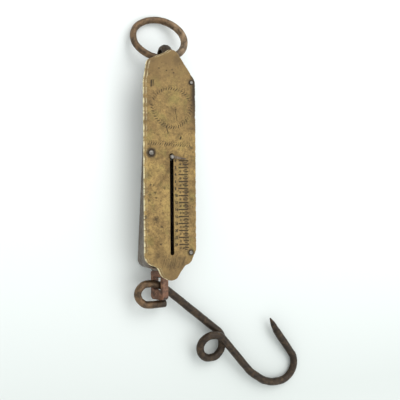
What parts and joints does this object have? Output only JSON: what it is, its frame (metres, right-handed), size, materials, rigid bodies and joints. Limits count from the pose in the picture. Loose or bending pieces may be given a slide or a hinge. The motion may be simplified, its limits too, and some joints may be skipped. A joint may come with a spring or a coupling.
{
  "type": "spring weighing scale",
  "caption": "Pocket spring balance: brass dial plate riveted on a pressed iron case, sliding pointer and rod, suspension ring, swivel eye and bent-wire load hook.",
  "frame": {"origin": "on the case's flat back, under the middle of the face plate", "axes": "+X across the face to the right of the reader, +Y along the face towards the suspension ring, +Z out of the face"},
  "size_m": [0.1177, 0.2347, 0.0217],
  "materials": {
    "brass_face": "aged satin, worn bright on the edges",
    "pointer_brass": "aged satin",
    "tinned_iron": "dull tinned iron with brown rust",
    "rivet_iron": "rubbed bright heads",
    "forged_iron": "dark brown oxidised forged wire",
    "rusted_iron": "red-brown rust",
    "works_iron": "dull machined iron",
    "spring_steel": "dark oiled spring steel"
  },
  "bodies": {
    "case": {"face_plate": "brass_face", "back_case": "tinned_iron", "face_rivets": "rivet_iron", "top_bridge": "works_iron", "bridge_rivets": "rivet_iron", "suspension_lug": "forged_iron", "lug_nut": "works_iron", "spring_top_plug": "works_iron", "main_spring": "spring_steel", "foot_bridge": "works_iron", "foot_bush": "works_iron"},
    "draw": {"draw_rod": "works_iron", "spring_foot_plug": "works_iron", "index_bracket": "works_iron", "bracket_pin": "rivet_iron", "pointer_stud": "rivet_iron", "pointer": "pointer_brass"},
    "swivel": {"swivel_eye": "rusted_iron"},
    "hook": {"load_hook": "forged_iron"},
    "ring": {"suspension_ring": "forged_iron"}
  },
  "joints": [
    {"name": "draw_slide", "type": "slide", "parent": "case", "child": "draw", "axis": [0, -1, 0], "range_m": [0, 0.056], "stiffness_N_per_m": 1950, "deforming": ["main_spring"]},
    {"name": "swivel_turn", "type": "hinge", "parent": "draw", "child": "swivel", "pos_m": [-0.003, -0.0612, 0.009], "axis": [0, -1, 0], "continuous": true},
    {"name": "hook_swing", "type": "hinge", "parent": "swivel", "child": "hook", "pos_m": [-0.0076, -0.0822, 0.009], "axis": [0.0835, -0.0529, 0.9951], "range_deg": [-52, 0]},
    {"name": "ring_tilt", "type": "hinge", "parent": "case", "child": "ring", "pos_m": [0.0004, 0.0673, 0.0116], "axis": [1, 0, 0], "range_deg": [0, 70]}
  ]
}
